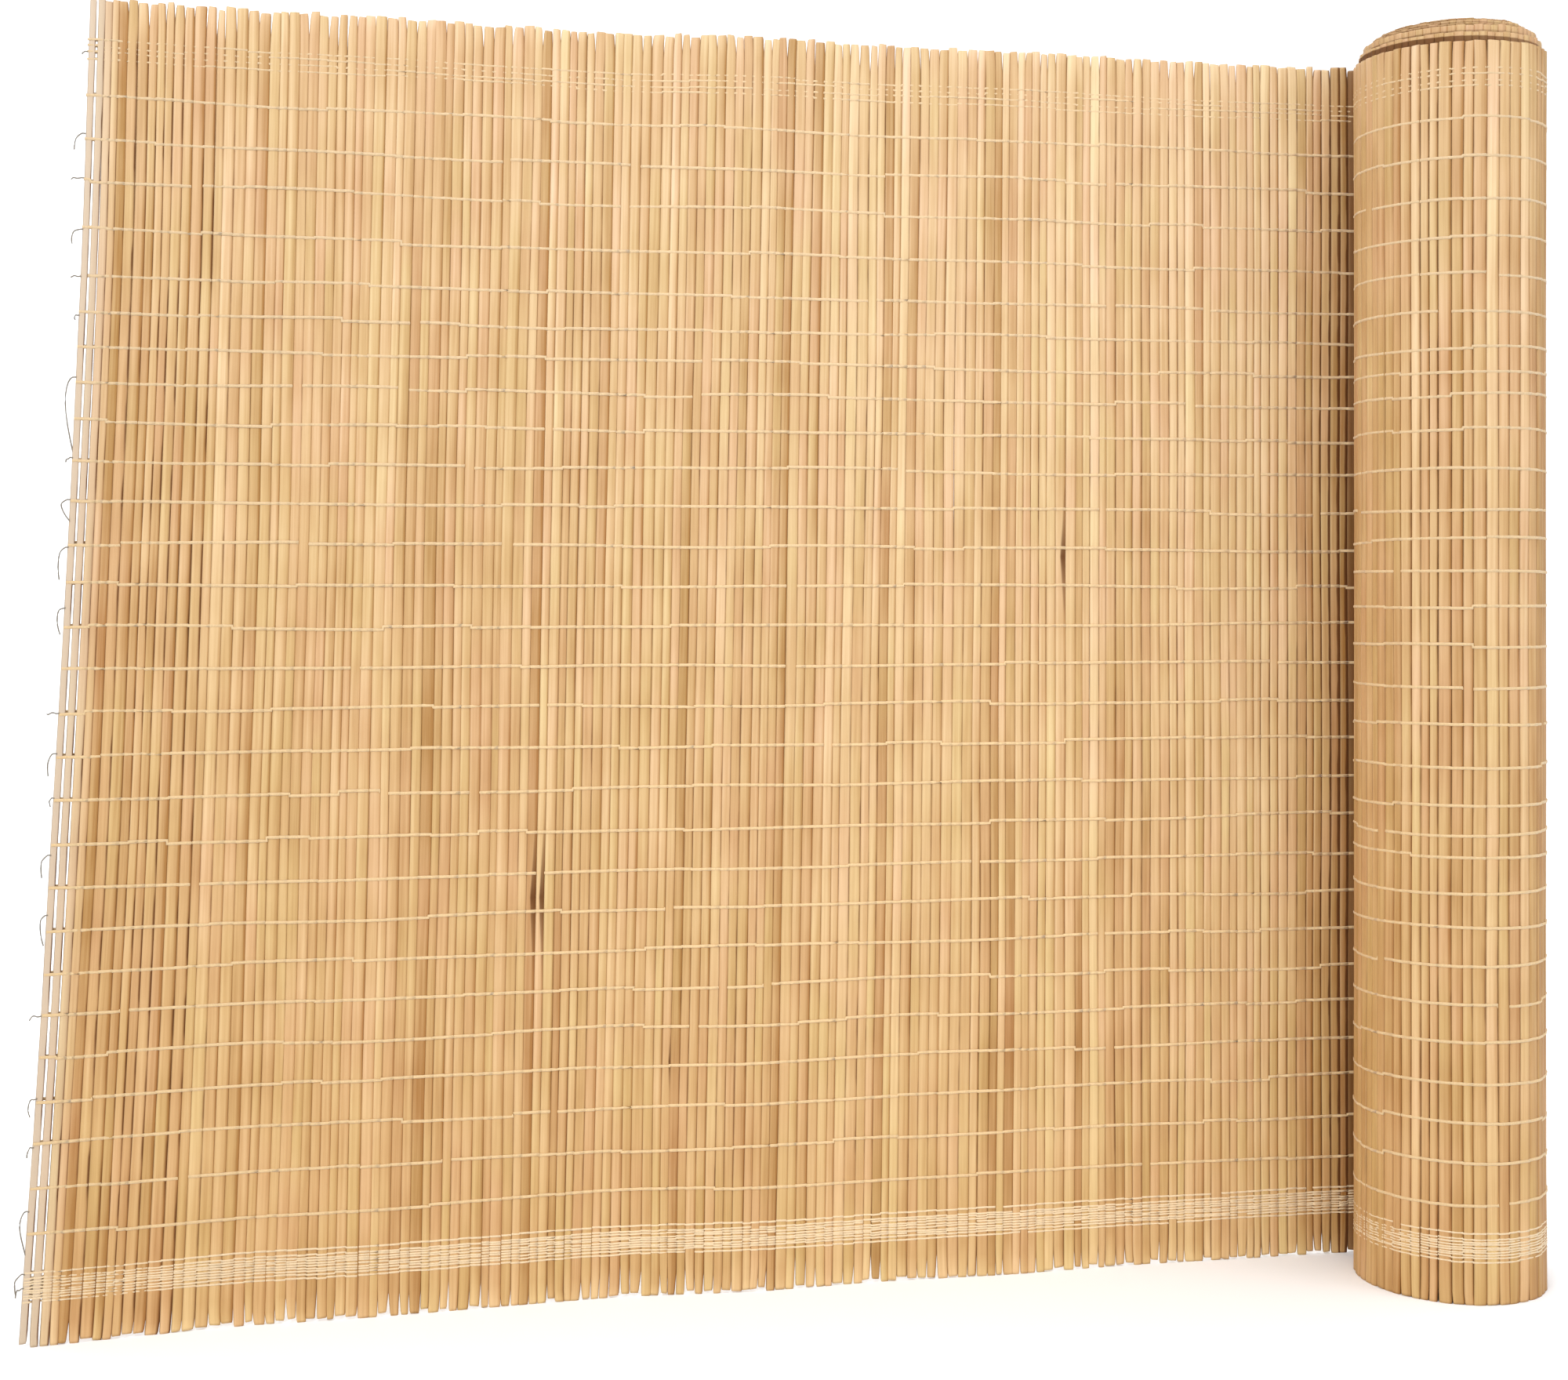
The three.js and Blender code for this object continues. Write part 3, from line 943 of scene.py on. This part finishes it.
def inner_slats():
    """The dressed slats of the turns inside the outer wrap, which stand ever higher towards the middle."""
    slats, angle, i = [], 2 * math.pi, 0
    while angle < INNER_TURNS * 2 * math.pi:
        radius = wrap_radius(angle)
        step = INNER_SLAT_PITCH * (1 + WIDTH_STRAY * either(i, INNER_STRAY + STRAY["inner_width"])) / radius
        slat = {"start": angle, "end": angle + step}
        widen(slat, INNER_COVER / radius)
        dress_slat(slat, i, INNER_STRAY, ROLL_ENDS, 0.0, radius)
        slat.update(tip=0.98, tip_dark=0.15, foot_open=0.02, head_open=0.02, foot_lean=0.0, head_lean=0.0)
        slat.update(parted=0.0, side=0.06, slant=0.0)
        slat["tone"] = -0.2 + 0.07 * either(i, INNER_STRAY + STRAY["inner_tone"])

        turn = angle / (2 * math.pi)
        rise = line_at(RISES, "rise", turn, "turn")
        rise += RISE_STRAY * either(i, INNER_STRAY + STRAY["rise"])
        outside = ROLL_SLAT_LENGTH + line_at(RISES, "rise", turn - 1, "turn")
        shade = next(row for row in INNER_SHADES if turn < row["until"])
        left = -math.sin(angle)
        edge = outside + shade["reach"] + shade["reach_left"] * left
        slat["hidden"] = behind_wrap(edge, min(shade["dark"] + shade["dark_left"] * left, DARKEST))

        # Two cuts stand either side of the shade's edge, and others bound the fine parts at the ends
        foot, head = slat["foot"] + rise, slat["head"] + rise
        edge = min(edge, head - 1.5)
        half_fade, end_part, tip_part = SHADE_FADE / 2, 12, 0.8
        levels = [foot, foot + end_part, SHEET_SLAT_LENGTH / 2, edge - end_part, edge - half_fade]
        levels += [edge + half_fade, head - tip_part, head]
        slat.update(foot=foot, head=head, levels=levels)
        slats.append(slat)
        angle += step
        i += 1
    return slats


def place_piece(bm, name, material):
    """Turns millimetres about the roll's axis into a placed object of the frame."""
    bmesh.ops.scale(bm, vec=(MM, MM, MM), verts=bm.verts)
    bmesh.ops.translate(bm, vec=roll_axis(), verts=bm.verts)
    piece = new_object(name, smooth_mesh(bm, name))
    piece.data.materials.append(material)
    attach(piece, "root")
    return piece


# Where a slat's pattern is cut, as shares of its length: close together at its ends, and evenly between
END_CUTS = [0.002, 0.009, 0.018, 0.028, 0.038]
LONG_CUTS = [0.095 + 0.054 * i for i in range(16)]
WIDTH_CUTS = [-0.25, 0.0, 0.25]
INNER_CUTS = [k / 7 for k in range(1, 7)]


def fine_pattern(sizes):
    """The slat of the sheet and the outer wrap."""
    cuts = END_CUTS + LONG_CUTS + [1 - c for c in reversed(END_CUTS)]
    return slat_pattern("fine_slat", cuts, WIDTH_CUTS, 2, sizes)


class MATTING_OT_open_slats(bpy.types.Operator):
    """Lays the slats of the open sheet"""

    bl_idname = "matting.open_slats"
    bl_label = "Open slats"

    def execute(self, context):
        sizes = context.scene.matting_sizes
        bm = lay_slats(fine_pattern(sizes), open_slats(), on_sheet, sizes)
        material = shared_material("split_bamboo", bamboo_material)
        piece = place_piece(bm, "open_slats", material)
        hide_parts("matting_sheet")
        return {"FINISHED"}


class MATTING_OT_wound_slats(bpy.types.Operator):
    """Lays the slats of the roll's outer wrap and of the turns inside it"""

    bl_idname = "matting.wound_slats"
    bl_label = "Wound slats"

    def execute(self, context):
        sizes = context.scene.matting_sizes
        material = shared_material("split_bamboo", bamboo_material)
        bm = lay_slats(fine_pattern(sizes), outer_slats(), on_wrap, sizes)
        outer = place_piece(bm, "outer_wrap_slats", material)
        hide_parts("matting_roll")
        coarse_pattern = slat_pattern("coarse_slat", INNER_CUTS, [], 1, sizes)
        bm = lay_slats(coarse_pattern, inner_slats(), on_wrap, sizes)
        inner = place_piece(bm, "inner_wrap_slats", material)
        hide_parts("matting_roll")
        return {"FINISHED"}


# Threads


def runs_of(count, row, seed, shortest, longest):
    """For each slat, whether a thread passes in front of it, and how far that run has stepped."""
    plan, run = [], 0
    while len(plan) < count:
        share = stray(run * 3 + row * 41, seed)
        step = either(run * 7 + row * 13, seed + 1)
        plan += [{"front": True, "step": step}] * (shortest + int(share * (longest - shortest + 1)))
        if stray(run * 5 + row * 11, seed + 3) < DUCKING_SHARE:
            plan.append({"front": False, "step": step})
        run += 1
    return plan[:count]


def beside(slat, place, share, height, out, sizes):
    """A point beside a slat, in front of it or behind it, at a share of its width."""
    swing, lift, turn = bend(slat, height, sizes)
    offset = (share - 0.5) * (slat["end"] - slat["start"])
    middle = middle_of(slat)
    point, normal = place(middle + offset + swing / slat["scale"], height)
    return point + normal * (lift + turn * offset * slat["scale"] + out)


def front_thread(slats, place, heights, levels, dip, sizes):
    """Points of a thread that lies on most slats, dips between them and ducks behind some."""
    points = []
    for i, slat in enumerate(slats):
        for share in ON_SLAT:
            points.append(beside(slat, place, share, heights[i], levels[i], sizes))
        if i + 1 < len(slats):
            between = (levels[i] + levels[i + 1]) / 2
            between -= dip if between > DIPS_FROM else 0.0
            points.append(beside(slat, place, PAST_SLAT, heights[i], between, sizes))
    return points


def thread_mesh(name, lines, thread, flat=True):
    """Threads along lists of points, as one bmesh: round, or pressed to half their width in thickness."""
    curve = bpy.data.curves.new(name, "CURVE")
    curve.dimensions = "3D"
    curve.twist_mode = "Z_UP"
    curve.bevel_depth = thread / 4 if flat else thread / 2
    curve.extrude = thread / 4 if flat else 0.0
    curve.bevel_resolution = 0
    curve.use_fill_caps = True
    for line in lines:
        spline = curve.splines.new("POLY")
        spline.points.add(len(line) - 1)
        for point, co in zip(spline.points, line):
            point.co = (*co, 1.0)
    holder = new_object(name, curve)
    bpy.context.view_layer.update()
    mesh = bpy.data.meshes.new_from_object(holder.evaluated_get(bpy.context.evaluated_depsgraph_get()))
    bpy.data.objects.remove(holder)
    bpy.data.curves.remove(curve)
    bm = bmesh.new()
    bm.from_mesh(mesh)
    bpy.data.meshes.remove(mesh)
    bmesh.ops.remove_doubles(bm, verts=bm.verts, dist=1e-5)
    bmesh.ops.recalc_face_normals(bm, faces=bm.faces)
    return bm


def weave(name, kind, bases, slats, place, seed, sizes):
    """A piece of threads: each row has one thread in front of the slats and a plain one behind them."""
    rows = next(row for row in ROW_KINDS if row["kind"] == kind)
    edge = sizes.edge_thread
    thread = {"single": sizes.thread, "head": edge * HEAD_THREAD_SHARE, "foot": edge}[kind] / MM
    out = SLAT_THICKNESS / 2 + thread * THREAD_STAND
    lines = []
    for row, base in enumerate(bases):
        plan = runs_of(len(slats), row, seed, rows["shortest"], rows["longest"])
        heights, levels, back = [], [], []
        for i, (slat, pick) in enumerate(zip(slats, plan)):
            along = middle_of(slat) * slat["scale"]
            drift = noise.noise(Vector((along / DRIFT_LENGTH, row * rows["apart"], seed))) * rows["drift"]
            jitter = rows["jitter"] * either(i * 3 + row * 29, seed + 2)
            heights.append(base + drift + pick["step"] * rows["step"] + jitter)
            relief = line_at(THREAD_RELIEF, "relief", heights[i], "height") * slat["thread"]
            uneven = noise.noise(Vector((along / UNEVEN_LENGTH, row * 1.7, seed + 9)))
            relief = min(max(relief + uneven * rows["unevenness"], LEAST_RELIEF), 1.0)
            levels.append(out - SUNK_DEPTH * (1 - relief) if pick["front"] else -out)
            level_height = base + drift + BACK_STEP * rows["step"] + jitter
            back.append(beside(slat, place, 0.5, level_height, -out, sizes))
        lines.append(front_thread(slats, place, heights, levels, rows["dip"], sizes))
        lines.append(back)
    bm = thread_mesh(name, lines, thread)
    if kind == "foot":
        material = shared_material("foot_thread", foot_thread_material)
    else:
        material = shared_material("cotton_thread", thread_material)
    return place_piece(bm, name, material)


def weave_side(prefix, rows, slats, place, seed, sizes):
    """The three pieces of threads on the sheet or on the roll."""
    singles = [curve_at(rows, "height", row, "row") for row in range(rows[-1]["row"] + 1)]
    return [
        weave(prefix + "_threads", "single", singles, slats, place, seed, sizes),
        weave(prefix + "_head_threads", "head", HEAD_BAND, slats, place, seed + 2, sizes),
        weave(prefix + "_foot_threads", "foot", FOOT_BAND, slats, place, seed + 3, sizes),
    ]


def thread_tails(slats, sizes):
    """The loose ends of the threads past the last slat, some hooked and some hanging in a loop."""
    lines = []
    for row, tail in enumerate(TAILS):
        start = beside(slats[-1], on_sheet, 0.8, tail["height"], SLAT_THICKNESS / 2 + 0.3, sizes)
        line = [start]
        for k in range(1, TAIL_POINTS + 1):
            t = k / TAIL_POINTS
            out = tail["reach"] * (math.sin(t * math.pi / 2) - tail["back"] * t**3)
            wave = 0.5 * math.sin(t * 9 + row)
            line.append(start + Vector((-out - 1, wave * 2, wave - tail["droop"] * t**2.2)))
        lines.append(line)
    bm = thread_mesh("thread_tails", lines, TAIL_THREAD, flat=False)
    material = shared_material("loose_thread", loose_thread_material)
    return place_piece(bm, "thread_tails", material)


class MATTING_OT_open_threads(bpy.types.Operator):
    """Weaves the threads of the open sheet"""

    bl_idname = "matting.open_threads"
    bl_label = "Open threads"

    def execute(self, context):
        sizes = context.scene.matting_sizes
        slats = open_slats()
        pieces = weave_side("open", SHEET_ROWS, slats, on_sheet, OPEN_SEED, sizes)
        pieces.append(thread_tails(slats, sizes))
        return {"FINISHED"}


class MATTING_OT_wound_threads(bpy.types.Operator):
    """Weaves the threads of the outer wrap"""

    bl_idname = "matting.wound_threads"
    bl_label = "Wound threads"

    def execute(self, context):
        sizes = context.scene.matting_sizes
        weave_side("wound", ROLL_ROWS, outer_slats(), on_wrap, WOUND_SEED, sizes)
        return {"FINISHED"}


# Stage


def lay_sweep():
    """The floor, which bends up into a backdrop."""
    bm = bmesh.new()
    bmesh.ops.create_grid(bm, x_segments=1, y_segments=48, size=1.0)
    bmesh.ops.scale(bm, vec=(SWEEP["half_width"], SWEEP["half_depth"], 1.0), verts=bm.verts)
    radius = SWEEP["bend_radius"]
    for vert in bm.verts:
        past = vert.co.y - SWEEP["bend_start"]
        if past > 0:
            turn = min(past / radius, math.pi / 2)
            over = max(past - radius * math.pi / 2, 0)
            vert.co.y = SWEEP["bend_start"] + radius * math.sin(turn)
            vert.co.z = radius * (1 - math.cos(turn)) + over * SWEEP["rise"]
    sweep = new_object("sweep", smooth_mesh(bm, "sweep"))
    sweep.data.materials.append(shared_material("pale_sweep", floor_material))


def hang_lamps():
    """The soft lamps, each turned to the place it is aimed at."""
    for lamp in LAMPS:
        light = bpy.data.lights.new(lamp["name"], "AREA")
        light.size = lamp["size"]
        light.energy = lamp["power"]
        holder = new_object(lamp["name"], light)
        holder.location = lamp["place"]
        aim = Vector(lamp["aim"]) - holder.location
        holder.rotation_euler = aim.to_track_quat("-Z", "Y").to_euler()


def light_sky(scene):
    """An even white sky."""
    world = bpy.data.worlds.new("studio")
    scene.world = world
    world.use_nodes = True
    sky = world.node_tree.nodes["Background"]
    sky.inputs["Color"].default_value = (1, 1, 1, 1)
    sky.inputs["Strength"].default_value = SKY_STRENGTH
    scene.view_settings.view_transform = "Standard"


def set_camera(scene):
    """The level camera, shifted so that its horizon lies on the photo's row."""
    camera = bpy.data.cameras.new("camera")
    camera.lens = 50
    camera.sensor_width = 36
    camera.shift_y = (HORIZON_ROW - PHOTO_HEIGHT / 2) / PHOTO_WIDTH
    holder = new_object("camera", camera)
    holder.location = roll_axis() + Vector((*EYE, scene.matting_sizes.eye_height))
    holder.rotation_euler = (math.radians(90), 0, EYE_TURN)
    scene.camera = holder


class MATTING_OT_stage(bpy.types.Operator):
    """Sets the floor, the lights and the camera"""

    bl_idname = "matting.stage"
    bl_label = "Stage"

    def execute(self, context):
        lay_sweep()
        hang_lamps()
        light_sky(context.scene)
        set_camera(context.scene)
        return {"FINISHED"}


class MATTING_PT_panel(bpy.types.Panel):
    """Lists the sizes, colours and steps"""

    bl_label = "Bamboo matting"
    bl_idname = "MATTING_PT_panel"
    bl_space_type = "VIEW_3D"
    bl_region_type = "UI"
    bl_category = "Matting"

    def draw(self, context):
        for group in (context.scene.matting_sizes, context.scene.matting_colours):
            box = self.layout.box()
            for name in group.__annotations__:
                box.prop(group, name)
        for step in STEPS:
            self.layout.operator(step.bl_idname)


STEPS = (
    MATTING_OT_stage,
    MATTING_OT_open_slats,
    MATTING_OT_wound_slats,
    MATTING_OT_open_threads,
    MATTING_OT_wound_threads,
)
CLASSES = (MattingSizes, MattingColours, *STEPS, MATTING_PT_panel)


def register():
    for cls in CLASSES:
        bpy.utils.register_class(cls)
    bpy.types.Scene.matting_sizes = bpy.props.PointerProperty(type=MattingSizes)
    bpy.types.Scene.matting_colours = bpy.props.PointerProperty(type=MattingColours)


def unregister():
    del bpy.types.Scene.matting_colours
    del bpy.types.Scene.matting_sizes
    for cls in reversed(CLASSES):
        bpy.utils.unregister_class(cls)


def main():
    """Builds the roll."""
    register()
    bpy.ops.matting.stage()
    bpy.ops.matting.open_slats()
    bpy.ops.matting.wound_slats()
    bpy.ops.matting.open_threads()
    bpy.ops.matting.wound_threads()


if __name__ == "__main__":
    main()
